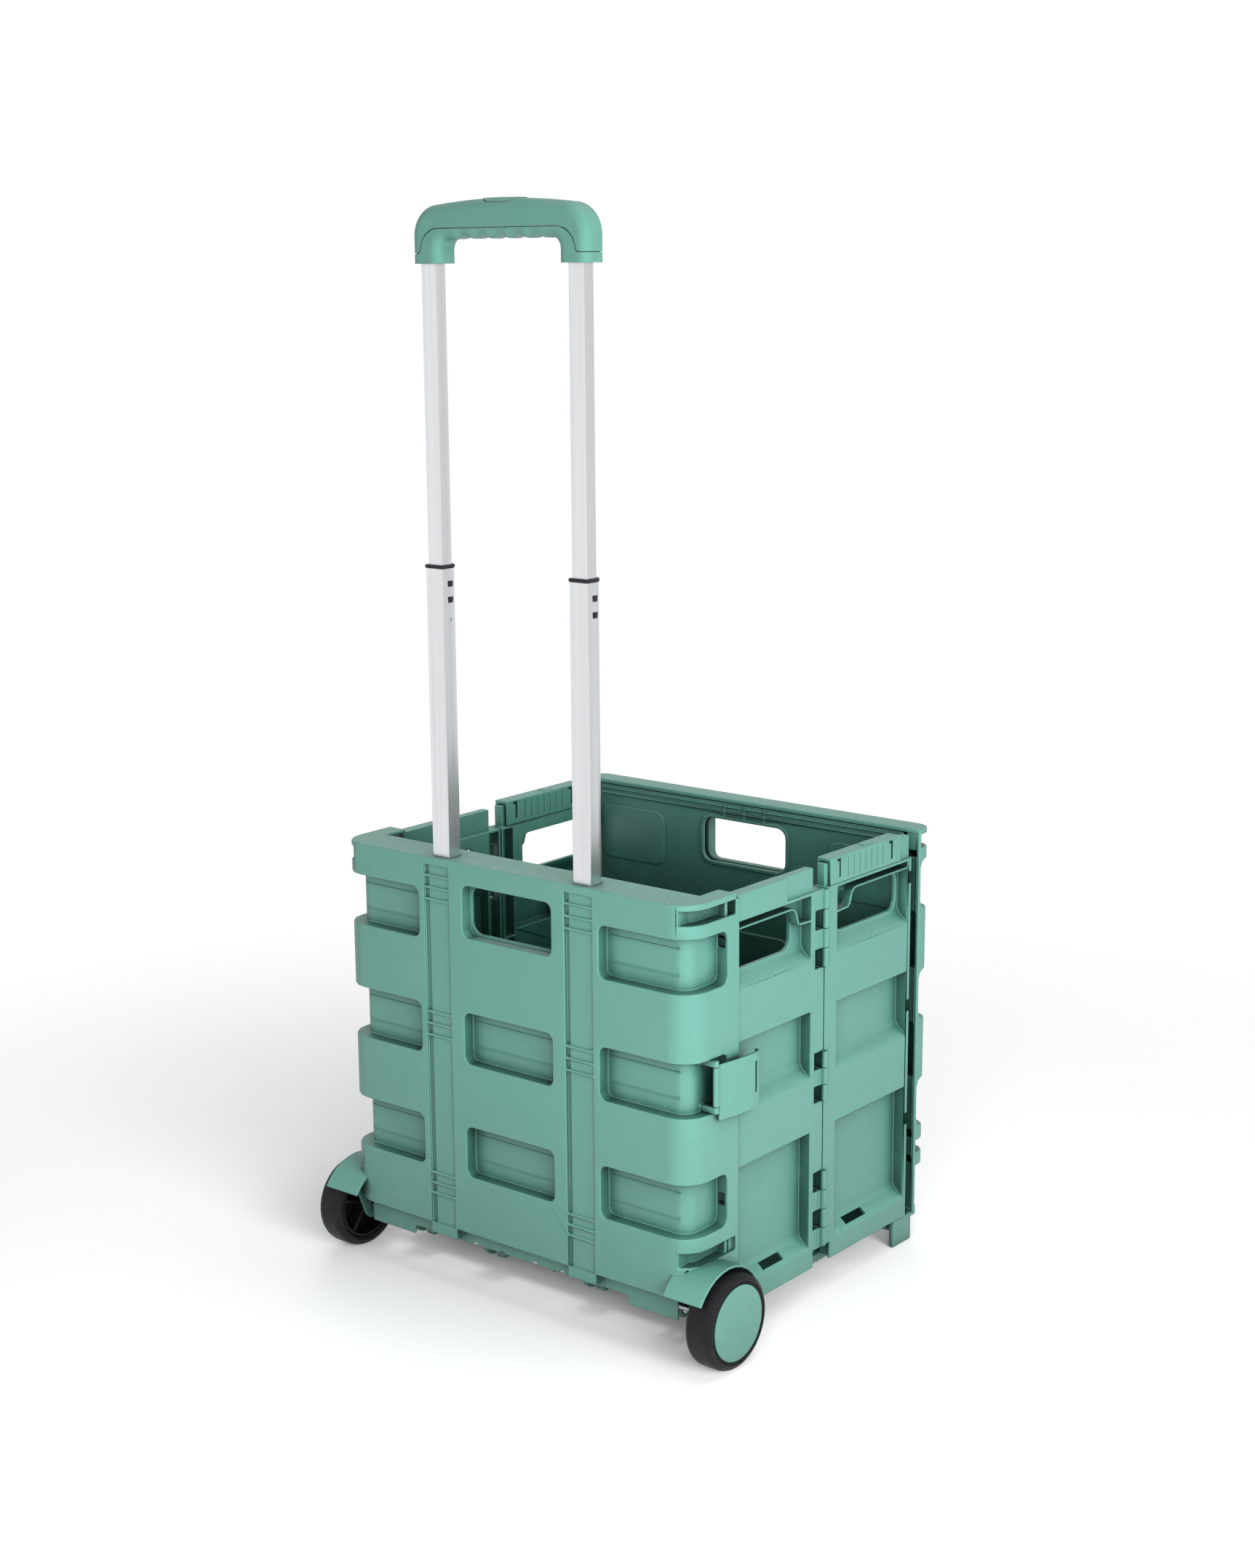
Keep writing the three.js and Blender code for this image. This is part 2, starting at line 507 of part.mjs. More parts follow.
function sidePanel(half) {
  const rear = half === 'rear';
  const reach = (d) => (rear ? d : 2 * MID_HINGE.y - d);
  const slab = (x0, x1, d0, d1, z0, z1) => block(x0, x1, reach(d0), reach(d1), z0, z1);
  const hinge = rear ? REAR_HINGE : FRONT_HINGE;
  const inner = SIDE_RECESSED - SKIN;
  const skinEnd = POST.from + 1;
  const skinEnds = [reach(60), reach(skinEnd)].sort((a, b) => a - b);
  const skin = alongY(sideSection(), ...skinEnds);
  const post = slab(inner, SIDE_OUTER, POST.from, POST.to, SIDE_BOTTOM, SIDE_TOP).subtract(
    slab(inner - 1, SIDE_OUTER - SKIN, POST.from + SKIN, POST.to - SKIN, SIDE_BOTTOM - 1, SIDE_TOP - SKIN));
  const cornerPost = joined(
    slab(inner, SIDE_OUTER, 60, 65, SIDE_BOTTOM, SIDE_TOP),
    slab(192, SIDE_OUTER, 59, 61, SIDE_BOTTOM, SIDE_TOP),
    rod(hinge.x, hinge.y, 3, SIDE_BOTTOM, SIDE_TOP, 3),
  );
  const ribs = [[160, 213], [274, 324]].map(([z0, z1]) => slab(inner, SIDE_OUTER - 1, 122, 124, z0, z1))
    .concat([98, 168].map((d) => slab(inner, SIDE_OUTER - 1, d - 1, d + 1, SIDE_BOTTOM + 6, 50)))
    .concat([150, 270].map((z) => slab(inner, SIDE_OUTER - 1, POST.from + 1, POST.to - 1, z - 1, z + 1)));
  const railBar = (x0, x1, d0, d1) => slab(x0, x1, d0, d1, SIDE_TOP - 1, RAIL_TOP);
  const rail = rear
    ? joined(railBar(187, SIDE_OUTER, 66.5, 145), railBar(188, 196.9, 144, 188))
    : railBar(188, 196.9, 59.5, 199);
  const lip = ribbon([
    [reach(64), 375],
    [reach(150), 375],
    ...arc(0, 0, 9, 90, 10, 3).map(([u, v]) => [reach(151 + u), 366 + v]),
    [reach(162), 361],
    [reach(164), 359],
    [reach(184), 358],
  ], 2);
  const frame = OPENING[half];
  const ringOuter = rectangle(frame.y0 - 3, frame.y1 + 3, frame.z0 - 3, frame.z1 + 2, frame.radius + 3);
  const barrels = barrelsOf(half).map(([z0, z1]) => joined(
    rod(MID_HINGE.x, MID_HINGE.y, BARREL, z0, z1, 4),
    slab(197, 200.3, 195, MID_HINGE.y, z0, z1)));
  const windows = barrelsOf(rear ? 'front' : 'rear').map(([z0, z1]) => slab(
    rear ? 189 : 196.5, 202, rear ? 188.5 : MID_HINGE.y - BARREL - 0.5, 203, z0 - GAP, z1 + GAP));
  const body = cut(
    joined(skin, post, cornerPost, ...ribs, alongX(lip, SIDE_RECESSED - 1, SIDE_OUTER), rail,
      alongX(ringOuter, SIDE_RECESSED - 2, SIDE_RECESSED + 1.5)),
    alongX(rectangle(frame.y0, frame.y1, frame.z0, frame.z1, frame.radius), inner - 1, SIDE_RECESSED + 3),
    ...EARS.map(([z0, z1]) => slab(183, 201, 55, 64.5, z0 - 0.6, z1 + 0.6)),
    ...windows,
    block(189, 196.7, ...FLOOR_SLOT[half], 34, 56),
    slab(inner - 1, SIDE_OUTER + 1, 189, 203, SIDE_BOTTOM - 1, KNUCKLE_GROUPS[2].z0 - 1.5),
  );
  return cut(
    joined(body, ...barrels),
    rod(hinge.x, hinge.y, HINGE_PIN_RADIUS + GAP, SIDE_BOTTOM + 10, SIDE_TOP - 3, 3),
    rod(MID_HINGE.x, MID_HINGE.y, MID_PIN_RADIUS + GAP, SIDE_BOTTOM, SIDE_TOP + 1, 3),
  );
}

const LOCK = { x0: 185, x1: 200.2, y0: 211, y1: 326, z0: 384.4, z1: RIM_TOP };

// The sliding lock: an inverted channel on the rail, which bridges the middle hinge when it is pushed back.
function slideLock() {
  const { x0, x1, y0, y1, z0, z1 } = LOCK;
  const railRoom = block(187.6, 197.3, y0 - 1, y1 + 1, z0 - 1, RAIL_TOP + 0.5);
  const channel = block(x0, x1, y0, y1, z0, z1).subtract(railRoom);
  const grooves = Array.from({ length: 7 }, (_, i) => y0 + 28 + i * 9.5)
    .flatMap((y) => [[x0 - 1, x0 + 0.8], [x1 - 0.8, x1 + 1]].map(([low, high]) => block(
      low, high, y - 0.7, y + 0.7, z0 + 3, z1 - 3)));
  const slots = [y0 + 15, y1 - 15].flatMap((y) => [[x0 - 1, 188], [197, x1 + 1]].map(([low, high]) => joined(
    block(low, high, y - 1.2, y + 1.2, z0 + 5, z1 - 2.5),
    block(low, high, y - 4.5, y + 1.2, z1 - 4.5, z1 - 2.5))));
  const nub = block(188, 196, y0 + 60, y0 + 74, z1 - 0.5, z1 + 1);
  return joined(cut(channel, ...grooves, ...slots), nub);
}

// ---- Floor --------------------------------------------------------------------------------------

function floorPanel() {
  const [half, y0, y1, top] = [183, 60, 344, 27];
  const sheet = block(-half, half, y0, y1, top - 3, top);
  const ribX = [-half + 1.2, -61, 61, half - 1.2];
  const ribY = [y0 + 1.2, 154, 250, y1 - 1.2];
  const { y, z, pin } = FLOOR_HINGE;
  const arms = FLOOR_EARS.flatMap((x) => [x, -x]).flatMap((x) => [-7.5, 7.5].map((shift) => joined(
    block(x + shift - 5, x + shift + 5, y, y0 + 2, top - 6, top),
    alongX(circle(y, z, 4), x + shift - 5, x + shift + 5, 3))));
  const bore = alongX(circle(y, z, pin + GAP), -200, 200, 4);
  return joined(
    sheet,
    ...ribX.map((x) => block(x - 1.2, x + 1.2, y0, y1, 19, top - 1)),
    ...ribY.map((ry) => block(-half, half, ry - 1.2, ry + 1.2, 19, top - 1)),
    ...arms,
  ).subtract(bore);
}

// ---- Wheels -------------------------------------------------------------------------------------

function tyre(segments = 24) {
  const [x0, x1, r, bore] = [WHEEL.inner, WHEEL.inner + WHEEL.width, WHEEL.radius, 34.5];
  const shoulder = 5;
  return turnedAboutAxle([
    [bore, x0 + 1],
    [r - shoulder, x0],
    ...arc(r - shoulder, x0 + shoulder, shoulder, -80, -10, 2),
    [r, x0 + shoulder + 2],
    [r, x1 - shoulder - 2],
    ...arc(r - shoulder, x1 - shoulder, shoulder, 10, 80, 2),
    [r - shoulder, x1],
    [bore, x1 - 1],
    [bore, x0 + 1],
  ], segments);
}

// The rim, the disc under the cap and the boss on the axle, turned in one, with spokes on the inner side.
function hub(segments = 18) {
  const [x0, rim] = [WHEEL.inner, 34.2];
  const [inside, boss, bore] = [rim - 3, 9, AXLE_RADIUS + GAP];
  const ring = turnedAboutAxle([
    [inside, x0 + 2], [rim, x0 + 2], [rim, x0 + 25.4], [inside, x0 + 25.4], [inside, x0 + 21],
    [bore, x0 + 21], [bore, x0 + 1], [boss, x0 + 1], [boss, x0 + 18], [inside, x0 + 18], [inside, x0 + 2],
  ], segments);
  const spokes = Array.from({ length: 5 }, (_, i) => {
    const spoke = new THREE.BoxGeometry(14, 3, 25).translate(x0 + 11, 0, 20);
    return solid(spoke.rotateX(i * Math.PI * 2 / 5).translate(0, WHEEL.y, WHEEL.z));
  });
  return joined(ring, ...spokes);
}

function hubCap(segments = 24) {
  const [x, r] = [WHEEL.inner + WHEEL.width - 2.2, 34];
  return turnedAboutAxle([
    [0, x], [r, x], [r, x + 1.2], [r - 1, x + 2.2], [r * 0.6, x + 2.7], [0, x + 3],
  ], segments);
}

function axle() {
  return alongX(circle(WHEEL.y, WHEEL.z, AXLE_RADIUS), -229, 229, 4);
}

function axleClip() {
  return alongX(circle(WHEEL.y, WHEEL.z, 7.5), 227.7, 228.7, 4)
    .subtract(alongX(circle(WHEEL.y, WHEEL.z, AXLE_RADIUS + 0.02), 227, 230, 4));
}

// ---- Clasp --------------------------------------------------------------------------------------

function clasp() {
  const { x, y, pin, z0, z1, low, high } = CLASP;
  const bow = [[-0.2, 3.8], [0.8, 10], [3, 22], [4.6, 36], [5, 46], [4.6, 54], [2, 58], [-1, 58.5]];
  const plate = alongZ(ribbon(bow.map(([u, v]) => [x + u, y + v]), 2.6), z0, z1);
  const body = joined(plate, block(x - 1.5, x + 1.5, y, y + 5, low, high), rod(x, y, 2.7, low, high));
  return cut(
    body,
    rod(x, y, pin + GAP, z0 - 1, z1 + 1, 3),
    block(x, x + 10, y + 49, y + 51.5, z0 + 14, z1 - 8),
  );
}

// ---- Handle -------------------------------------------------------------------------------------

const COLLAR = { low: 668.3, top: 671.2, strip: 640 };
const PADS = [COLLAR.low - 11 - 3, COLLAR.low - 25 - 3]; // lower edges of the two locating pads
const DETENT_Z = 623;

function lowerTube(side) {
  const x = side * TUBE.x;
  return cut(
    tube(x, LOWER),
    block(x + 8.4, x + 9.45, TUBE.y - 4.3, TUBE.y + 4.3, COLLAR.strip - 0.4, LOWER.top + 1),
    ...PADS.map((z) => block(x + 8, x + 11, TUBE.y - 3.4, TUBE.y + 3.4, z - 0.2, z + 5.2)),
    alongX(circle(TUBE.y, DETENT_Z, 2.5), x, x - side * 12, 4),
  );
}

function collar(side) {
  const x = side * TUBE.x;
  return joined(
    alongZ(tubeOutline(x, LOWER.half + 0.7), COLLAR.low, COLLAR.top)
      .subtract(alongZ(tubeOutline(x, UPPER.half + GAP), 600, 700)),
    block(x + 8.65, x + 9.2, TUBE.y - 4, TUBE.y + 4, COLLAR.strip, COLLAR.low + 1),
    ...PADS.map((z) => block(x + 9, x + 10.4, TUBE.y - 3.1, TUBE.y + 3.1, z, z + 5)),
  );
}

function detentPin(side) {
  const x = side * TUBE.x;
  return joined(
    alongX(circle(TUBE.y, DETENT_Z, 2.1), x - side * 8.7, x - side * 10, 4),
    alongX(circle(TUBE.y, DETENT_Z, 1.4), x - side * 9.9, x - side * 10.3, 4),
  );
}

function upperTube(side) {
  const x = side * TUBE.x;
  return tube(x, UPPER).subtract(alongX(circle(TUBE.y, DETENT_Z, 2.8), x - side * 5, x - side * 10, 4));
}

const LATCH_Z = 606;
const PLUG = { bottom: 600, collar: 617.6, top: 619.5 };

// The plastic foot of an upper tube, which guides it and carries the latch.
function tubeFoot(side) {
  const x = side * TUBE.x;
  return cut(
    joined(
      alongZ(tubeOutline(x, UPPER.half + 0.3), PLUG.bottom, PLUG.collar),
      alongZ(tubeOutline(x, UPPER.half - UPPER.wall - GAP), PLUG.collar - 1, PLUG.top)),
    rod(x, TUBE.y, 1.9, PLUG.bottom - 1, PLUG.top + 1, 3),
    alongX(circle(TUBE.y, LATCH_Z, 2.1), x, x + side * 12, 3),
  );
}

function latchPin(side) {
  const x = side * TUBE.x;
  return alongX(circle(TUBE.y, LATCH_Z, 1.8), x + side * 3.6, x + side * 8.4, 3);
}

// The grip's outer line seen from behind: two legs, rounded shoulders and a slightly arched top.
function gripOutline() {
  const { half, bottom, top } = GRIP;
  const shoulder = 26;
  const shoulderTop = top - 4;
  const arch = Array.from({ length: 7 }, (_, i) => {
    const u = -1 + (i + 1) / 4;
    return [-u * (half - shoulder), shoulderTop + 4 * (1 - u * u)];
  });
  return polygon([
    [-half, bottom],
    [half, bottom],
    ...arc(half - shoulder, shoulderTop - shoulder, shoulder, 0, 90, 5),
    ...arch,
    ...arc(-half + shoulder, shoulderTop - shoulder, shoulder, 90, 180, 5),
  ]);
}

function gripBody() {
  const { half, leg, bottom, top, underside, y0, y1 } = GRIP;
  const face = alongY(gripOutline(), y0, y1);
  const inside = half - leg;
  const hollow = alongY(rectangle(-inside, inside, bottom - 20, underside, 9, 3), y0 - 1, y1 + 1);
  const scallops = [-2, -1, 0, 1, 2].map((i) =>
    alongY(circle(i * 20, underside - 12, 14), y0 - 1, y1 + 1, 6));
  const rounding = alongX(rectangle(y0, y1, bottom - 40, top + 1, 8, 3), -half - 1, half + 1);
  return cut(face.intersect(rounding), hollow, ...scallops);
}

const SEAM = { inset: 11, top: 957, radius: 20, collar: 8.5 };
const BRIDGE = { half: 85, z0: 962, z1: 966 };
const SCREW = { x: 56, y: 24.8 };

// The lower shell's region, seen from behind: a collar round the foot of each leg, and the bow's inside.
function seamRegion(grow) {
  const { half, bottom, y0, y1 } = GRIP;
  const inner = half - SEAM.inset + grow;
  return joined(
    alongY(rectangle(-inner, inner, bottom - 40, SEAM.top + grow, SEAM.radius, 4), y0 - 1, y1 + 1),
    block(-half - 1, half + 1, y0 - 1, y1 + 1, bottom - 10, bottom + SEAM.collar + grow),
  );
}

function buttonOutline(grow) {
  const [half, depth] = [20.5 + grow, 11 + grow];
  return rectangle(-half, half, TUBE.y - depth, TUBE.y + depth, depth, 4);
}

function gripShells() {
  const body = gripBody();
  const cavityFloor = BRIDGE.z0 - PRESS - 2.5;
  const cavity = block(-BRIDGE.half - 2, BRIDGE.half + 2, 11, 22, cavityFloor, 973);
  const rods = [1, -1].map((side) => rod(side * TUBE.x, TUBE.y, 2.2, UPPER.top - 1, SEAM.top + 2, 3));
  const sockets = [1, -1].map((side) =>
    alongZ(tubeOutline(side * TUBE.x, UPPER.half + GAP), GRIP.bottom - 1, UPPER.top + GAP));
  const buttonHole = alongZ(buttonOutline(GAP), 970, 1000);
  const screws = [1, -1].map((side) => joined(
    rod(side * SCREW.x, SCREW.y, 1.6, 940, 968, 3),
    rod(side * SCREW.x, SCREW.y, 3.2, 930, 953, 3)));
  const springPocket = rod(0, TUBE.y, 4.2, 953, 962, 4);
  const hollows = [cavity, ...rods, ...screws, ...sockets];
  return {
    upper: cut(body, seamRegion(GAP), buttonHole, ...hollows),
    lower: cut(body.intersect(seamRegion(0)), springPocket, ...hollows),
  };
}

// The button's top follows the grip's own rounding and stands slightly proud of it.
function releaseButton() {
  const cap = alongZ(buttonOutline(0), 973.5, 1000).intersect(gripBody().translate(0, 0, 0.6));
  return joined(cap, rod(0, TUBE.y, 4, BRIDGE.z1 + GAP, 976, 4));
}

function releaseBridge() {
  return block(-BRIDGE.half, BRIDGE.half, 13, 20, BRIDGE.z0, BRIDGE.z1);
}

function releaseRod(side) {
  return rod(side * TUBE.x, TUBE.y, 1.4, 611, BRIDGE.z0 - GAP, 3);
}

function buttonSpring() {
  const turns = 4;
  const [z0, z1, radius, wire] = [953.6, 961.2, 3, 0.45];
  class Coil extends THREE.Curve {
    getPoint(t) {
      const angle = t * turns * Math.PI * 2;
      const [u, v] = [radius * Math.cos(angle), radius * Math.sin(angle)];
      return new THREE.Vector3(u, TUBE.y + v, z0 + (z1 - z0) * t);
    }
  }
  const wireSection = new THREE.Shape().absarc(0, 0, wire, 0, Math.PI * 2);
  return solid(new THREE.ExtrudeGeometry(wireSection, {
    steps: turns * 7, extrudePath: new Coil(), curveSegments: 2, bevelEnabled: false }));
}

function gripScrew(side) {
  const [x, y] = [side * SCREW.x, SCREW.y];
  return joined(rod(x, y, 1.3, 950.5, 967, 3), rod(x, y, 2.8, 950.3, 952.6, 3));
}

// ---- The crate ----------------------------------------------------------------------------------

place('rear_wall', rearWall(), GREEN);
const front = new THREE.Group();
front.rotation.z = Math.PI;
front.position.y = FRONT.outerFace;
model.add(front);
place('front_wall', frontWall(), GREEN, front);
place('front_liner', frontLiner(), GREEN, front);
place('floor_panel', floorPanel(), GREEN);
place('floor_hinge_rod', alongX(circle(FLOOR_HINGE.y, FLOOR_HINGE.z, FLOOR_HINGE.pin), -166, 166, 4), STEEL);
placePair('rear_side_panel', sidePanel('rear'), GREEN);
placePair('front_side_panel', sidePanel('front'), GREEN);
placePair('slide_lock', slideLock(), GREEN);
placePair('rear_hinge_pin', rod(REAR_HINGE.x, REAR_HINGE.y, HINGE_PIN_RADIUS, 62, 378, 3), STEEL);
placePair('front_hinge_pin', rod(FRONT_HINGE.x, FRONT_HINGE.y, HINGE_PIN_RADIUS, 62, 378, 3), STEEL);
KNUCKLE_GROUPS.forEach(({ z0, z1 }, i) => placePair(
  `middle_hinge_pin_${i + 1}`, rod(MID_HINGE.x, MID_HINGE.y, MID_PIN_RADIUS, z0, z1 - 1, 3), STEEL));
place('clasp', clasp(), GREEN);
place('clasp_pin', rod(CLASP.x, CLASP.y, CLASP.pin, 223.5, 270.5, 3), STEEL);

place('wheel_axle', axle(), STEEL);
placePair('axle_clip', axleClip(), STEEL);
placePair('tyre', tyre(), RUBBER);
placePair('wheel_hub', hub(), BLACK);
placePair('hub_cap', hubCap(), GREEN);

for (const [name, side] of [['right', 1], ['left', -1]]) {
  place(`fixed_sleeve_${name}`, tube(side * TUBE.x, SLEEVE), ALUMINIUM);
  place(`lower_tube_${name}`, lowerTube(side), ALUMINIUM);
  place(`tube_collar_${name}`, collar(side), BLACK);
  place(`detent_pin_${name}`, detentPin(side), STEEL);
  place(`upper_tube_${name}`, upperTube(side), ALUMINIUM);
  place(`tube_foot_${name}`, tubeFoot(side), BLACK);
  place(`latch_pin_${name}`, latchPin(side), STEEL);
  place(`release_rod_${name}`, releaseRod(side), STEEL);
  place(`grip_screw_${name}`, gripScrew(side), STEEL);
}
const grip = gripShells();
place('grip_upper_shell', grip.upper, GREEN);
place('grip_lower_shell', grip.lower, GREEN);
place('release_button', releaseButton(), GREEN);
place('release_bridge', releaseBridge(), BLACK);
place('button_spring', buttonSpring(), STEEL);

const REAR_MOST = WHEEL.y - WHEEL.radius;
const FRONT_MOST = FRONT.outerFace + 8 + HOOK.radius + HOOK.thickness / 2;
model.position.y = -(REAR_MOST + FRONT_MOST) / 2;

export default model;
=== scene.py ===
"""The looks of the folding shopping trolley crate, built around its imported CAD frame.

Every length is in metres, in the frame's own axes: +Z up, +Y from the handle wall to the front wall.
"""
import json
import math

import bmesh
import bpy
from mathutils import Matrix, Vector


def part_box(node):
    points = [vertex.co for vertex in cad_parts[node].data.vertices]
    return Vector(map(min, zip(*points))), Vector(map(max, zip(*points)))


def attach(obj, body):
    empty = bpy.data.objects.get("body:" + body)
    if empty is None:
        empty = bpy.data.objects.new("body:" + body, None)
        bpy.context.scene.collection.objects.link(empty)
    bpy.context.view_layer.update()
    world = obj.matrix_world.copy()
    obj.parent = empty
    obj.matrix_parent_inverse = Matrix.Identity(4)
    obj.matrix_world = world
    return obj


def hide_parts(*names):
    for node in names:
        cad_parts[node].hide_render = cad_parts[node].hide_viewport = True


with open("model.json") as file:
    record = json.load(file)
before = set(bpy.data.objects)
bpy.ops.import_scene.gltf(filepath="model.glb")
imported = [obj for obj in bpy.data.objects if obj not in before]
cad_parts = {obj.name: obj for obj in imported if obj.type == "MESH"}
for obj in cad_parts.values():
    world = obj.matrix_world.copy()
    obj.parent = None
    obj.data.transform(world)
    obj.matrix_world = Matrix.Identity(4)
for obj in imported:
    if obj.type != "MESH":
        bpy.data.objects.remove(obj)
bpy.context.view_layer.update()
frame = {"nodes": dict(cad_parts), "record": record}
NODES = frame["nodes"]
BODIES = frame["record"]["behaviour"]["bodies"]
BODY_OF = {node: body for body, members in BODIES.items() for node in members}
SLOT_OF = {row["node"]: row["material_slot"] for row in frame["record"]["subparts"]}
MM = 0.001
SIDES = {"right": 1, "left": -1}
SHARP_ANGLE = 38           # degrees; a fold above it keeps its crease in the shading
FLAT_ANGLE = 0.6           # degrees; faces that meet at less are one face
CREASE_ANGLE = 8           # degrees; an edge above it limits the bevels beside it
WELD_DISTANCE = 0.004 * MM
BREAKTHROUGH = 10 * MM     # how far a cutter runs on beyond what it cuts

scene = bpy.context.scene
scene.view_settings.view_transform = "Standard"


# ---- Materials -------------------------------------------------------------------------------------

class Shader:
    """A node material around one Principled BSDF, with short ways to add and join nodes."""

    def __init__(self, name):
        self.material = bpy.data.materials.new(name)
        self.material.use_nodes = True
        self.tree = self.material.node_tree
        self.tree.nodes.clear()
        self.surface = self.add("ShaderNodeBsdfPrincipled")
        output = self.add("ShaderNodeOutputMaterial")
        self.join(self.surface.outputs["BSDF"], output.inputs["Surface"])
        self.place = self.add("ShaderNodeTexCoord").outputs["Object"]

    def add(self, kind, **values):
        node = self.tree.nodes.new(kind)
        for name, value in values.items():
            node.inputs[name].default_value = value
        return node

    def join(self, output, socket):
        self.tree.links.new(output, socket)

    def stretched(self, scale):
        mapping = self.add("ShaderNodeMapping", Scale=scale)
        self.join(self.place, mapping.inputs["Vector"])
        return mapping.outputs["Vector"]

    def noise(self, scale, detail=2.0, place=None, roughness=0.5):
        node = self.add("ShaderNodeTexNoise", Scale=scale, Detail=detail, Roughness=roughness)
        self.join(place or self.place, node.inputs["Vector"])
        return node.outputs["Fac"]

    def spread(self, value, low, high, source_low=0.3, source_high=0.7):
        """A value between low and high that follows another one."""
        node = self.tree.nodes.new("ShaderNodeMapRange")
        self.join(value, node.inputs["Value"])
        node.inputs["From Min"].default_value = source_low
        node.inputs["From Max"].default_value = source_high
        node.inputs["To Min"].default_value = low
        node.inputs["To Max"].default_value = high
        return node.outputs["Result"]

    def mix(self, share, low, high):
        """A colour between two others; each of them is a colour or a socket."""
        node = self.tree.nodes.new("ShaderNodeMix")
        node.data_type = "RGBA"
        self.join(share, node.inputs["Factor"])
        for socket, colour in ((node.inputs[6], low), (node.inputs[7], high)):
            if isinstance(colour, tuple):
                socket.default_value = (*colour, 1)
            else:
                self.join(colour, socket)
        return node.outputs[2]

    def set(self, **sockets):
        for name, value in sockets.items():
            socket = self.surface.inputs[name.replace("_", " ")]
            if isinstance(value, bpy.types.NodeSocket):
                self.join(value, socket)
            else:
                socket.default_value = value

    def rounded(self, radius):
        """The normal with edges rounded over a radius, and a mask that is 1 along those edges."""
        bevel = self.tree.nodes.new("ShaderNodeBevel")
        bevel.samples = 4
        bevel.inputs["Radius"].default_value = radius
        geometry = self.tree.nodes.new("ShaderNodeNewGeometry")
        dot = self.tree.nodes.new("ShaderNodeVectorMath")
        dot.operation = "DOT_PRODUCT"
        self.join(bevel.outputs["Normal"], dot.inputs[0])
        self.join(geometry.outputs["True Normal"], dot.inputs[1])
        return bevel.outputs["Normal"], self.spread(dot.outputs["Value"], 1, 0, 0.80, 0.98)

    def openness(self, reach, closed, clear):
        """1 on open faces, falling to 0 where most of the view within reach is blocked."""
        hollow = self.tree.nodes.new("ShaderNodeAmbientOcclusion")
        hollow.samples = 8
        hollow.inputs["Distance"].default_value = reach
        return self.spread(hollow.outputs["AO"], 0, 1, closed, clear)

    def shaded(self, colour):
        """The colour with painted shade: darker inside the crate and in its pockets, where less of the
        studio is seen.
        """
        red, green, blue = colour
        # Painted shade from occlusion: a long reach for the crate's inside, a short one for its pockets.
        inside = self.openness(450 * MM, 0.25, 0.8)
        pocket = self.openness(18 * MM, 0.35, 0.9)
        on_face = self.mix(inside, (0.10 * red, 0.22 * green, 0.20 * blue), colour)
        in_pocket = self.mix(inside, scaled(colour, 0.08), (0.35 * red, 0.5 * green, 0.48 * blue))
        return self.mix(pocket, in_pocket, on_face)

    def bump(self, height, distance, strength=1.0, normal=None):
        node = self.add("ShaderNodeBump", Strength=strength, Distance=distance)
        self.join(height, node.inputs["Height"])
        if normal is not None:
            self.join(normal, node.inputs["Normal"])
        self.join(node.outputs["Normal"], self.surface.inputs["Normal"])


def scaled(colour, factor):
    return tuple(min(1.0, channel * factor) for channel in colour)


def moulded_plastic(name, colour, roughness, shine, edge_wear_and_highlight_share=0.35):
    """Injection-moulded plastic: a fine spark-eroded grain, a slow drift of tone, painted shade inside the
    crate and in its pockets, and edges made lighter partly by wear and partly by a painted highlight.
    """
    shader = Shader(name)
    normal, edge = shader.rounded(0.8 * MM)
    # Painted shade: the colour darkened inside the crate and in its pockets.
    colour_with_painted_shade = shader.shaded(colour)
    drift = shader.noise(7, detail=3)
    cloud = shader.mix(shader.spread(drift, 0, 0.06), colour_with_painted_shade, scaled(colour, 1.5))
    scuffs = shader.noise(60, detail=5, roughness=0.65)
    dusty = shader.mix(shader.spread(scuffs, 0, 0.08, 0.5, 0.8), cloud, scaled(colour, 1.8))
    # Lighter edges: partly wear, partly a painted highlight where the thin edges catch light.
    edge_wear_and_highlight = shader.add("ShaderNodeMath")
    edge_wear_and_highlight.operation = "MULTIPLY"
    shader.join(edge, edge_wear_and_highlight.inputs[0])
    edge_wear_and_highlight.inputs[1].default_value = edge_wear_and_highlight_share
    shader.set(
        Base_Color=shader.mix(edge_wear_and_highlight.outputs["Value"], dusty, scaled(colour, 1.28)),
        Roughness=shader.spread(shader.noise(240, detail=3), roughness - 0.05, roughness + 0.07),
        Specular_IOR_Level=shine,
    )
    shader.bump(shader.noise(1900, detail=2), 0.05 * MM, 0.35, normal)
    return shader.material


def drawn_aluminium(name):
    """Satin anodised aluminium with the fine lengthwise lines of an extruded tube."""
    shader = Shader(name)
    lines = shader.noise(1, detail=3, place=shader.stretched((2600, 2600, 9)))
    bands = shader.noise(1, detail=2, place=shader.stretched((160, 160, 2)))
    shader.set(
        Base_Color=shader.mix(shader.spread(bands, 0, 1), (0.78, 0.79, 0.81), (0.88, 0.885, 0.90)),
        Metallic=1.0,
        Roughness=shader.spread(lines, 0.28, 0.40),
        Anisotropic=0.45,
    )
    shader.bump(lines, 0.012 * MM, 0.5)
    return shader.material


def rubber(name):
    """Black tyre: satin, with dust rubbed into the tread."""
    shader = Shader(name)
    normal, edge = shader.rounded(0.5 * MM)
    dust = shader.noise(75, detail=5, roughness=0.7)
    clean, dusty = (0.005, 0.005, 0.006), (0.022, 0.021, 0.022)
    base = shader.mix(shader.spread(dust, 0, 0.3, 0.45, 0.75), clean, dusty)
    shader.set(
        Base_Color=shader.mix(shader.spread(edge, 0, 0.25, 0, 1), base, (0.03, 0.029, 0.03)),
        Roughness=shader.spread(shader.noise(190, detail=4), 0.42, 0.62),
        Specular_IOR_Level=0.2,
    )
    shader.bump(shader.noise(900, detail=3), 0.06 * MM, 0.5, normal)
    return shader.material


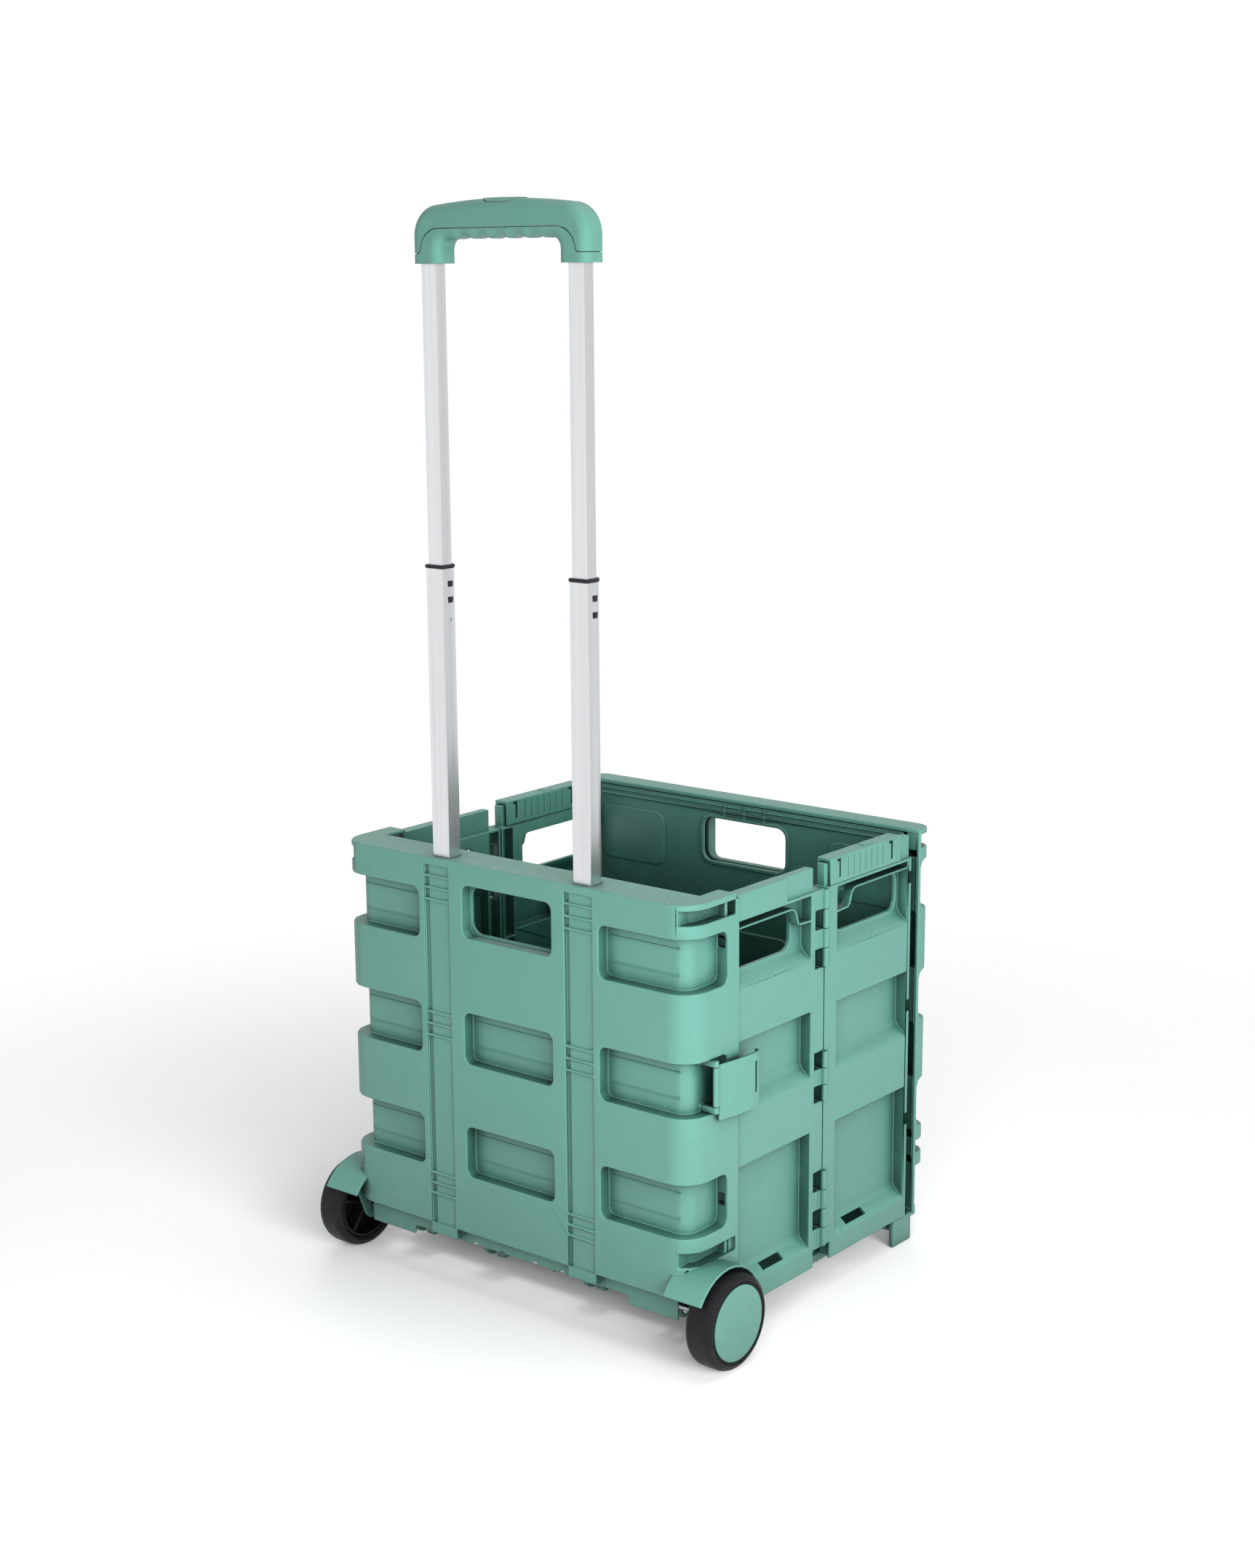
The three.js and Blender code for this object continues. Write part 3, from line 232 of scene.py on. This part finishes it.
def bright_steel(name):
    """Drawn steel wire and turned pins."""
    shader = Shader(name)
    turned = shader.noise(1, detail=3, place=shader.stretched((900, 900, 2400)))
    shader.set(
        Base_Color=shader.mix(shader.spread(turned, 0, 1), (0.42, 0.42, 0.43), (0.60, 0.60, 0.61)),
        Metallic=1.0,
        Roughness=shader.spread(shader.noise(300, detail=3), 0.22, 0.38),
    )
    shader.bump(turned, 0.01 * MM, 0.4)
    return shader.material


GREEN = (0.080, 0.222, 0.182)
BLACK = (0.013, 0.012, 0.015)
MATERIALS = {
    "green_plastic": moulded_plastic("green_plastic", GREEN, 0.44, shine=0.7),
    "black_plastic": moulded_plastic("black_plastic", BLACK, 0.50, shine=0.25, edge_wear_and_highlight_share=0.6),
    "aluminium": drawn_aluminium("aluminium"),
    "tyre_rubber": rubber("tyre_rubber"),
    "steel": bright_steel("steel"),
}


# ---- Mesh helpers ----------------------------------------------------------------------------------

def piece(name, mesh, *nodes):
    """Puts a mesh in the scene as the piece that stands for these CAD nodes."""
    made = bpy.data.objects.new(name, mesh)
    scene.collection.objects.link(made)
    slot = SLOT_OF[nodes[0]]
    made.data.materials.clear()
    made.data.materials.append(MATERIALS[slot])
    for face in made.data.polygons:
        face.use_smooth = True
    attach(made, BODY_OF[nodes[0]])
    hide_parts(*nodes)
    return made


def finished(obj):
    """Weighted normals, so that flat faces stay flat beside rounded edges."""
    if not obj.modifiers:
        obj.data.set_sharp_from_angle(angle=math.radians(SHARP_ANGLE))
    normals = obj.modifiers.new("normals", "WEIGHTED_NORMAL")
    normals.mode = "FACE_AREA"
    normals.weight = 80
    normals.keep_sharp = True
    return obj


def welded(node):
    """A CAD node's mesh with its vertices welded and its flat faces whole."""
    bm = bmesh.new()
    bm.from_mesh(NODES[node].data)
    bmesh.ops.remove_doubles(bm, verts=bm.verts, dist=WELD_DISTANCE)
    bmesh.ops.dissolve_degenerate(bm, edges=bm.edges, dist=WELD_DISTANCE)
    bmesh.ops.dissolve_limit(bm, angle_limit=math.radians(FLAT_ANGLE), verts=bm.verts, edges=bm.edges)
    return bm


def edge_room(edge, sharp):
    """How far an edge can be bevelled before the bevel meets the next corner."""
    room = 1.0
    for vertex in edge.verts:
        along = (edge.other_vert(vertex).co - vertex.co).normalized()
        for other in vertex.link_edges:
            if other is edge or other not in sharp:
                continue
            direction = other.other_vert(vertex).co - vertex.co
            cosine = along.dot(direction.normalized())
            if abs(cosine) < 0.8:
                room = min(room, 0.42 * direction.length * math.sqrt(1 - cosine * cosine))
    return room


def weigh_edges(bm, width, angle):
    """Gives each sharp edge the share of the bevel's width that it has room for."""
    layer = bm.edges.layers.float.new("bevel_weight_edge")
    folds = {edge: edge.calc_face_angle(0) for edge in bm.edges if len(edge.link_faces) == 2}
    sharp = {edge for edge, fold in folds.items() if fold > math.radians(CREASE_ANGLE)}
    for edge in sharp:
        if folds[edge] > math.radians(angle):
            edge[layer] = min(1.0, edge_room(edge, sharp) / width)
            edge.smooth = edge[layer] > 0.05


def moulding(node, width=0.9 * MM, angle=32, segments=2):
    """A moulded part: the CAD node's shape with every edge rounded."""
    bm = welded(node)
    bmesh.ops.triangulate(bm, faces=bm.faces)
    weigh_edges(bm, width, angle)
    mesh = bpy.data.meshes.new(node + "_moulding")
    bm.to_mesh(mesh)
    bm.free()
    made = piece(node + "_moulding", mesh, node)
    bevel = made.modifiers.new("edges", "BEVEL")
    bevel.limit_method = "WEIGHT"
    bevel.width = width
    bevel.segments = segments
    bevel.use_clamp_overlap = False
    bevel.loop_slide = False
    bevel.miter_outer = "MITER_SHARP"
    return finished(made)


def arc(centre, radius, start, end, steps):
    """Points along an arc in a plane, angles in degrees."""
    angles = [math.radians(start + (end - start) * i / steps) for i in range(steps + 1)]
    return [(centre[0] + radius * math.cos(a), centre[1] + radius * math.sin(a)) for a in angles]


def lathe_x(name, profile, centre, segments, *nodes):
    """A closed profile of (radius, x) points turned about a line along X through centre."""
    bm = bmesh.new()
    rings = []
    for step in range(segments):
        a = 2 * math.pi * step / segments
        turn = Vector((0, math.cos(a), math.sin(a)))
        rings.append([bm.verts.new(Vector((x, 0, 0)) + centre + turn * r) for r, x in profile])
    count = len(profile)
    for step in range(segments):
        here, there = rings[step], rings[(step + 1) % segments]
        for i in range(count):
            k = (i + 1) % count
            bm.faces.new((here[i], there[i], there[k], here[k]))
    bmesh.ops.remove_doubles(bm, verts=bm.verts, dist=1e-7)
    bmesh.ops.recalc_face_normals(bm, faces=bm.faces)
    mesh = bpy.data.meshes.new(name)
    bm.to_mesh(mesh)
    bm.free()
    return finished(piece(name, mesh, *nodes))


def prism(points, low, high, axis):
    """A closed prism: an outline in the two other axes, from low to high along axis."""
    bm = bmesh.new()

    def vertex(u, v, w):
        place = {"x": (w, u, v), "y": (u, w, v), "z": (u, v, w)}[axis]
        return bm.verts.new(place)

    ends = [[vertex(u, v, w) for u, v in points] for w in (low, high)]
    bm.faces.new(ends[0])
    bm.faces.new(ends[1])
    count = len(points)
    for i in range(count):
        k = (i + 1) % count
        bm.faces.new((ends[0][i], ends[0][k], ends[1][k], ends[1][i]))
    bmesh.ops.recalc_face_normals(bm, faces=bm.faces)
    return bm


def as_mesh(bm, name):
    mesh = bpy.data.meshes.new(name)
    bm.to_mesh(mesh)
    bm.free()
    return mesh


def combined(mesh, cutters, operation):
    """The mesh cut by, or kept only inside, the cutter meshes."""
    base = bpy.data.objects.new("work", mesh)
    scene.collection.objects.link(base)
    tools = []
    for i, cutter in enumerate(cutters):
        tool = bpy.data.objects.new(f"tool_{i}", cutter)
        scene.collection.objects.link(tool)
        step = base.modifiers.new(f"step_{i}", "BOOLEAN")
        step.operation = operation
        step.solver = "EXACT"
        step.object = tool
        tools.append(tool)
    bpy.context.view_layer.update()
    evaluated = base.evaluated_get(bpy.context.evaluated_depsgraph_get())
    result = bpy.data.meshes.new_from_object(evaluated)
    for thing in [base, *tools]:
        bpy.data.objects.remove(thing)
    return result


def rounded_prism(points, low, high, axis, width, segments):
    """A prism with both of its end outlines rounded over."""
    bm = prism(points, low, high, axis)
    index = "xyz".index(axis)
    rims = [e for e in bm.edges if abs(e.verts[0].co[index] - e.verts[1].co[index]) < 1e-9]
    bmesh.ops.bevel(bm, geom=rims, offset=width, segments=segments, profile=0.5, affect="EDGES",
                    clamp_overlap=False, loop_slide=False)
    bmesh.ops.recalc_face_normals(bm, faces=bm.faces)
    return bm


def oval(centre, half_u, half_v, steps=10):
    """A slot-shaped outline, longer along its first axis."""
    u, v = centre
    run = half_u - half_v
    return arc((u + run, v), half_v, -90, 90, steps) + arc((u - run, v), half_v, 90, 270, steps)


# ---- The crate -------------------------------------------------------------------------------------

def crate():
    moulding("rear_wall", 1.1 * MM)
    moulding("front_wall", 1.3 * MM)
    moulding("front_liner", 0.8 * MM)
    moulding("floor_panel", 0.8 * MM)
    for side in SIDES:
        moulding(f"rear_side_panel_{side}", 1.0 * MM)
        moulding(f"front_side_panel_{side}", 1.0 * MM)
        moulding(f"slide_lock_{side}", 0.8 * MM)
    moulding("clasp", 0.7 * MM, segments=3)


# ---- Wheels ----------------------------------------------------------------------------------------

def wheel(side):
    """Tyre, hub and cap; x runs outwards from the crate on either side."""
    sign = SIDES[side]
    low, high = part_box(f"tyre_{side}")
    centre = Vector((0, (low.y + high.y) / 2, (low.z + high.z) / 2))
    radius = (high.z - low.z) / 2
    inner, outer = sorted((abs(low.x), abs(high.x)))
    bore = 34.5 * MM
    shoulder = 6.5 * MM

    def outward(profile):
        return [(r, sign * x) for r, x in profile]

    near = arc((radius - shoulder, inner + shoulder), shoulder, -90, 0, 8)
    far = arc((radius - shoulder, outer - shoulder), shoulder, 0, 90, 8)
    crown = [(radius, inner + 10 * MM), (radius, outer - 10 * MM)]
    lip = 1.2 * MM
    tyre = [
        (bore, inner + lip), (bore + 1 * MM, inner + 0.3 * MM), (bore + 2 * MM, inner),
        *near, *crown, *far,
        (bore + 2 * MM, outer), (bore + 1 * MM, outer - 0.3 * MM), (bore, outer - lip),
    ]
    lathe_x(f"tyre_{side}_turned", outward(tyre), centre, 96, f"tyre_{side}")

    low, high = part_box(f"hub_cap_{side}")
    base, top = sorted((abs(low.x), abs(high.x)))
    rim = (high.z - low.z) / 2
    face = top - 0.9 * MM
    cap = [
        (0.0, base), (rim - 0.6 * MM, base), (rim, base + 0.5 * MM),
        *arc((rim - 1.2 * MM, face - 1.0 * MM), 1.2 * MM, 0, 80, 5),
        (rim - 3.2 * MM, face + 0.25 * MM), (rim * 0.7, face + 0.55 * MM), (rim * 0.35, face + 0.8 * MM),
        (0.0, top),
    ]
    lathe_x(f"hub_cap_{side}_turned", outward(cap), centre, 96, f"hub_cap_{side}")
    moulding(f"wheel_hub_{side}", 0.8 * MM)


# ---- Handle ----------------------------------------------------------------------------------------

def tube_outline(node, inset=0.0):
    """The tube's section: flat towards the user, round on the crate side."""
    low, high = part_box(node)
    half = (high.x - low.x) / 2 - inset
    x, y = (low.x + high.x) / 2, (low.y + high.y) / 2
    big, small = half * 0.8, half * 0.16
    return (
        arc((x + half - small, y - half + small), small, -90, 0, 3)
        + arc((x + half - big, y + half - big), big, 0, 90, 14)
        + arc((x - half + big, y + half - big), big, 90, 180, 14)
        + arc((x - half + small, y - half + small), small, 180, 270, 3)
    )


def box_mesh(low, high):
    points = [(low[0], low[1]), (high[0], low[1]), (high[0], high[1]), (low[0], high[1])]
    return as_mesh(prism(points, low[2], high[2], "z"), "box")


def tube(node, wall, cutters=()):
    low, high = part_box(node)
    outside = as_mesh(prism(tube_outline(node), low.z, high.z, "z"), node)
    inside = as_mesh(prism(tube_outline(node, wall), low.z - BREAKTHROUGH, high.z + BREAKTHROUGH, "z"), node)
    mesh = combined(outside, [inside, *cutters], "DIFFERENCE")
    return finished(piece(node + "_drawn", mesh, node))


def pad_windows(side):
    """The two square windows near the top of a lower tube, where the collar's pads show."""
    low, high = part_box(f"lower_tube_{side}")
    y = (low.y + high.y) / 2
    top = high.z
    half_width, height = 3.4 * MM, 5.4 * MM
    for drop in (10.7 * MM, 24.7 * MM):
        sill, head = top - drop - height, top - drop
        yield box_mesh((high.x - 3 * MM, y - half_width, sill), (high.x + 1 * MM, y + half_width, head))


def collar(side):
    """The black collar on a lower tube, with its two locating pads."""
    node = f"tube_collar_{side}"
    low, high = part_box(node)
    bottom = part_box(f"lower_tube_{side}")[1].z + 0.3 * MM
    ring = as_mesh(rounded_prism(tube_outline(node), bottom, high.z, "z", 0.7 * MM, 3), node)
    bore = tube_outline(f"upper_tube_{side}", -0.3 * MM)
    hole = as_mesh(prism(bore, low.z - BREAKTHROUGH, high.z + BREAKTHROUGH, "z"), node)
    finished(piece(f"{node}_ring", combined(ring, [hole], "DIFFERENCE"), node))
    tube_low, tube_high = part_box(f"lower_tube_{side}")
    y = (tube_low.y + tube_high.y) / 2
    for i, drop in enumerate((11 * MM, 25 * MM)):
        z = tube_high.z - drop - 2.4 * MM
        outline = oval((y, z), 3.0 * MM, 2.4 * MM, 4)
        pad = rounded_prism(outline, tube_high.x - 1.4 * MM, tube_high.x + 0.5 * MM, "x", 0.5 * MM, 3)
        finished(piece(f"collar_pad_{i + 1}_{side}", as_mesh(pad, node), node))


def detent(side):
    """The round-headed pin of the lower tube."""
    node = f"detent_pin_{side}"
    low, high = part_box(node)
    y, z = (low.y + high.y) / 2, (low.z + high.z) / 2
    radius = (high.z - low.z) / 2
    sign = SIDES[side]
    tip = low.x if sign > 0 else high.x
    root = high.x if sign > 0 else low.x
    dome = [(radius * math.cos(a), tip + sign * radius * 0.35 * (1 - math.sin(a)))
            for a in [math.radians(15 * i) for i in range(7)]]
    profile = [(0.0, root), (radius, root), *dome]
    lathe_x(f"{node}_turned", profile, Vector((0, y, z)), 32, node)


def detent_hole(side):
    """Where the pressed pin dips into the upper tube."""
    low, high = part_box(f"detent_pin_{side}")
    ring = arc(((low.y + high.y) / 2, (low.z + high.z) / 2), 2.8 * MM, 0, 345, 24)
    return as_mesh(prism(ring, low.x - 4 * MM, high.x + 4 * MM, "x"), "hole")


def grip_outline():
    """The grip seen from behind: legs, shoulders, arched top, and finger waves underneath."""
    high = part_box("grip_upper_shell")[1]
    half, foot, top = high.x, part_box("grip_lower_shell")[0].z, high.z
    leg, underside, bottom = 31 * MM, foot + 20 * MM, foot - 20 * MM
    shoulder, arch = 26 * MM, 4 * MM
    crown = top - arch
    steps = 16
    swell = [1 - 2 * (i + 1) / (steps + 1) for i in range(steps)]
    outside = [
        (half, bottom),
        *arc((half - shoulder, crown - shoulder), shoulder, 0, 90, 14),
        *[(u * (half - shoulder), crown + arch * (1 - u * u)) for u in swell],
        *arc((-half + shoulder, crown - shoulder), shoulder, 90, 180, 14),
        (-half, bottom),
    ]
    inner, fillet = half - leg, 9 * MM
    reach, pitch, depth, steps = 50 * MM, 20 * MM, 2.0 * MM, 60
    along = [-reach + 2 * reach * i / steps for i in range(steps + 1)]
    fingers = [(x, underside + depth * (1 + math.cos(math.tau * x / pitch)) / 2) for x in along]
    inside = [
        (-inner, bottom),
        *arc((-inner + fillet, underside - fillet), fillet, 180, 90, 7),
        *fingers,
        *arc((inner - fillet, underside - fillet), fillet, 90, 0, 7),
        (inner, bottom),
    ]
    return outside + inside


def seam_outline(grow, reach):
    """The lower shell's region seen from behind: a collar round each foot, and the inside of the bow."""
    low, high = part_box("grip_lower_shell")
    half, top = high.x - 11 * MM + grow, high.z + grow
    corner, steps = 20 * MM, 12
    beyond = high.x + 5 * MM
    bottom, collar = low.z - reach, low.z + 8.5 * MM + grow
    return [
        (beyond, bottom),
        (beyond, collar),
        *arc((half + 3 * MM, collar + 3 * MM), 3 * MM, 270, 180, 3),
        *arc((half - corner, top - corner), corner, 0, 90, steps),
        *arc((-half + corner, top - corner), corner, 90, 180, steps),
        *arc((-half - 3 * MM, collar + 3 * MM), 3 * MM, 0, -90, 3),
        (-beyond, collar),
        (-beyond, bottom),
    ]


def seam_tongues(grow):
    """The tongue on each foot that rises across the seam inside the upper shell."""
    low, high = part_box("grip_lower_shell")
    margin, rise = 3.8 * MM - grow, 4 * MM + grow
    level = low.z + 8.5 * MM
    inner = high.x - 12 * MM - grow
    for side in (-1, 1):
        near, far = sorted((side * inner, side * (high.x - margin)))
        yield box_mesh((near, low.y + margin, level - rise), (far, high.y - margin, level + rise))


def grip():
    """Upper and lower shell with the seam between them, and the oval release button."""
    low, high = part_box("grip_upper_shell")
    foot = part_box("grip_lower_shell")[0].z
    seam_gap, beyond = 0.3 * MM, 5 * MM
    body = as_mesh(rounded_prism(grip_outline(), low.y, high.y, "y", 9 * MM, 9), "grip")
    core = as_mesh(prism(seam_outline(-seam_gap, 0), low.y - beyond, high.y + beyond, "y"), "core")
    room = as_mesh(prism(seam_outline(seam_gap, 30 * MM), low.y - beyond, high.y + beyond, "y"), "room")
    play, depth = 0.4 * MM, 14 * MM
    sockets = [
        as_mesh(prism(tube_outline(f"upper_tube_{side}", -play), foot - beyond, foot + depth, "z"), "socket")
        for side in SIDES
    ]
    button_low, button_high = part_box("release_button")
    middle = ((button_low.x + button_high.x) / 2, (button_low.y + button_high.y) / 2)
    half_u, half_v = (button_high.x - button_low.x) / 2, (button_high.y - button_low.y) / 2
    slit = 0.6 * MM
    travel = 3 * MM
    plug_foot = high.z - 8 * MM
    sunk = plug_foot - travel - 0.4 * MM
    well = as_mesh(prism(oval(middle, half_u + slit, half_v + slit), sunk, high.z + beyond, "z"), "well")
    plug = as_mesh(prism(oval(middle, half_u, half_v, 14), plug_foot, high.z + beyond, "z"), "plug")
    raised = body.copy()
    raised.transform(Matrix.Translation((0, 0, 0.6 * MM)))
    button = combined(plug, [raised], "INTERSECT")
    lower = combined(body.copy(), [core], "INTERSECT")
    lower = combined(lower, sockets, "DIFFERENCE")
    lower = combined(lower, list(seam_tongues(0)), "UNION")
    upper = combined(body, [room, well, *seam_tongues(seam_gap)], "DIFFERENCE")
    finished(piece("grip_upper_shell_moulded", upper, "grip_upper_shell"))
    finished(piece("grip_lower_shell_moulded", lower, "grip_lower_shell"))
    finished(piece("release_button_moulded", button, "release_button"))


def handle():
    for side in SIDES:
        tube(f"fixed_sleeve_{side}", 1.4 * MM)
        tube(f"lower_tube_{side}", 1.0 * MM, list(pad_windows(side)))
        tube(f"upper_tube_{side}", 1.0 * MM, [detent_hole(side)])
        collar(side)
        detent(side)
    grip()


# ---- CAD nodes that stay ---------------------------------------------------------------------------

def finish_kept_nodes():
    """Pins, rods, screws and the spring keep their CAD shape and get their finish."""
    for name, node in NODES.items():
        if node.hide_render:
            continue
        node.data.materials.clear()
        node.data.materials.append(MATERIALS[SLOT_OF[name]])
        for face in node.data.polygons:
            face.use_smooth = True
        weld = node.modifiers.new("weld", "WELD")
        weld.merge_threshold = WELD_DISTANCE
        finished(node)


# ---- Stage, light and camera -----------------------------------------------------------------------

def stage():
    """A pale floor that fades into the pale background."""
    bm = bmesh.new()
    bmesh.ops.create_grid(bm, x_segments=8, y_segments=8, size=6)
    mesh = bpy.data.meshes.new("studio_floor")
    bm.to_mesh(mesh)
    bm.free()
    floor = bpy.data.objects.new("studio_floor", mesh)
    scene.collection.objects.link(floor)
    material = bpy.data.materials.new("studio_floor")
    material.use_nodes = True
    tree = material.node_tree
    tree.nodes.clear()
    add = tree.nodes.new
    place = add("ShaderNodeTexCoord")
    reach = add("ShaderNodeVectorMath")
    reach.operation = "LENGTH"
    fade = add("ShaderNodeMapRange")
    fade.inputs["From Min"].default_value = 0.3
    fade.inputs["From Max"].default_value = 1.3
    fade.interpolation_type = "SMOOTHSTEP"
    diffuse = add("ShaderNodeBsdfDiffuse")
    diffuse.inputs["Color"].default_value = (0.93, 0.93, 0.93, 1)
    clear = add("ShaderNodeBsdfTransparent")
    mix = add("ShaderNodeMixShader")
    output = add("ShaderNodeOutputMaterial")
    join = tree.links.new
    join(place.outputs["Object"], reach.inputs[0])
    join(reach.outputs["Value"], fade.inputs["Value"])
    join(fade.outputs["Result"], mix.inputs["Fac"])
    join(diffuse.outputs["BSDF"], mix.inputs[1])
    join(clear.outputs["BSDF"], mix.inputs[2])
    join(mix.outputs["Shader"], output.inputs["Surface"])
    floor.data.materials.append(material)


def background():
    """White to the camera, nearly white in reflections, and a weaker light on matt surfaces."""
    world = bpy.data.worlds.new("studio")
    world.use_nodes = True
    tree = world.node_tree
    tree.nodes.clear()
    path = tree.nodes.new("ShaderNodeLightPath")

    def shell(strength, colour=(1, 1, 1)):
        node = tree.nodes.new("ShaderNodeBackground")
        node.inputs["Color"].default_value = (*colour, 1)
        node.inputs["Strength"].default_value = strength
        return node.outputs["Background"]

    def choose(ray, otherwise, chosen):
        node = tree.nodes.new("ShaderNodeMixShader")
        tree.links.new(path.outputs[ray], node.inputs["Fac"])
        tree.links.new(otherwise, node.inputs[1])
        tree.links.new(chosen, node.inputs[2])
        return node.outputs["Shader"]

    mirrored, darkest = shell(1.0), (0.62, 0.78, 0)
    toward = tree.nodes.new("ShaderNodeVectorMath")
    toward.operation = "DOT_PRODUCT"
    toward.inputs[1].default_value = darkest
    tree.links.new(tree.nodes.new("ShaderNodeTexCoord").outputs["Generated"], toward.inputs[0])
    dark_side = tree.nodes.new("ShaderNodeMapRange")
    dark_side.inputs["From Min"].default_value = 0.45
    dark_side.inputs["To Min"].default_value = 0.92
    dark_side.inputs["To Max"].default_value = 0.74
    tree.links.new(toward.outputs["Value"], dark_side.inputs["Value"])
    tree.links.new(dark_side.outputs["Result"], mirrored.node.inputs["Strength"])
    surroundings = choose("Is Glossy Ray", shell(0.25, (0.97, 0.985, 1)), mirrored)
    output = tree.nodes.new("ShaderNodeOutputWorld")
    tree.links.new(choose("Is Camera Ray", surroundings, shell(1.0)), output.inputs["Surface"])
    scene.world = world


def softbox(name, place, aim, size, power):
    """A rectangular light that shows neither to the camera nor as a hot spot in the tubes."""
    data = bpy.data.lights.new(name, "AREA")
    data.shape = "RECTANGLE"
    data.size, data.size_y = size
    data.energy = power
    light = bpy.data.objects.new(name, data)
    light.location = place
    light.rotation_euler = (Vector(aim) - Vector(place)).to_track_quat("-Z", "Y").to_euler()
    light.visible_camera = False
    light.visible_glossy = False
    scene.collection.objects.link(light)


def lights():
    centre = (0, 0, 0.35)
    softbox("key_softbox", (2.4, -0.9, 0.9), centre, (1.4, 1.4), 84)
    softbox("rear_softbox", (1.05, -1.35, 0.6), (0.15, -0.1, 0.35), (0.8, 0.8), 22)
    softbox("left_softbox", (-1.6, -2.0, 0.8), centre, (1.4, 1.4), 8)
    softbox("top_softbox", (0.3, 0.4, 2.6), centre, (1.6, 1.6), 22)
    softbox("back_softbox", (-2.0, 2.0, 1.4), centre, (1.6, 1.6), 26)


def camera():
    """The view from behind the handle wall, to its right."""
    turn, tilt, roll = math.radians(38.876), math.radians(12.209), math.radians(-0.416)
    forward = Vector((-math.sin(turn) * math.cos(tilt), math.cos(turn) * math.cos(tilt), -math.sin(tilt)))
    level = forward.cross(Vector((0, 0, 1))).normalized()
    upright = level.cross(forward)
    right = level * math.cos(roll) + upright * math.sin(roll)
    up = upright * math.cos(roll) - level * math.sin(roll)
    data = bpy.data.cameras.new("camera")
    data.sensor_fit = "HORIZONTAL"
    data.sensor_width = 36
    data.lens = 68.71
    data.clip_end = 50
    view = bpy.data.objects.new("camera", data)
    basis = Matrix((right, up, -forward)).transposed().to_4x4()
    place = Vector((1.3549, -1.6971, 0.9250))
    view.matrix_world = Matrix.Translation(place) @ basis
    scene.collection.objects.link(view)
    scene.camera = view


crate()
for side_name in SIDES:
    wheel(side_name)
handle()
finish_kept_nodes()
stage()
background()
lights()
camera()
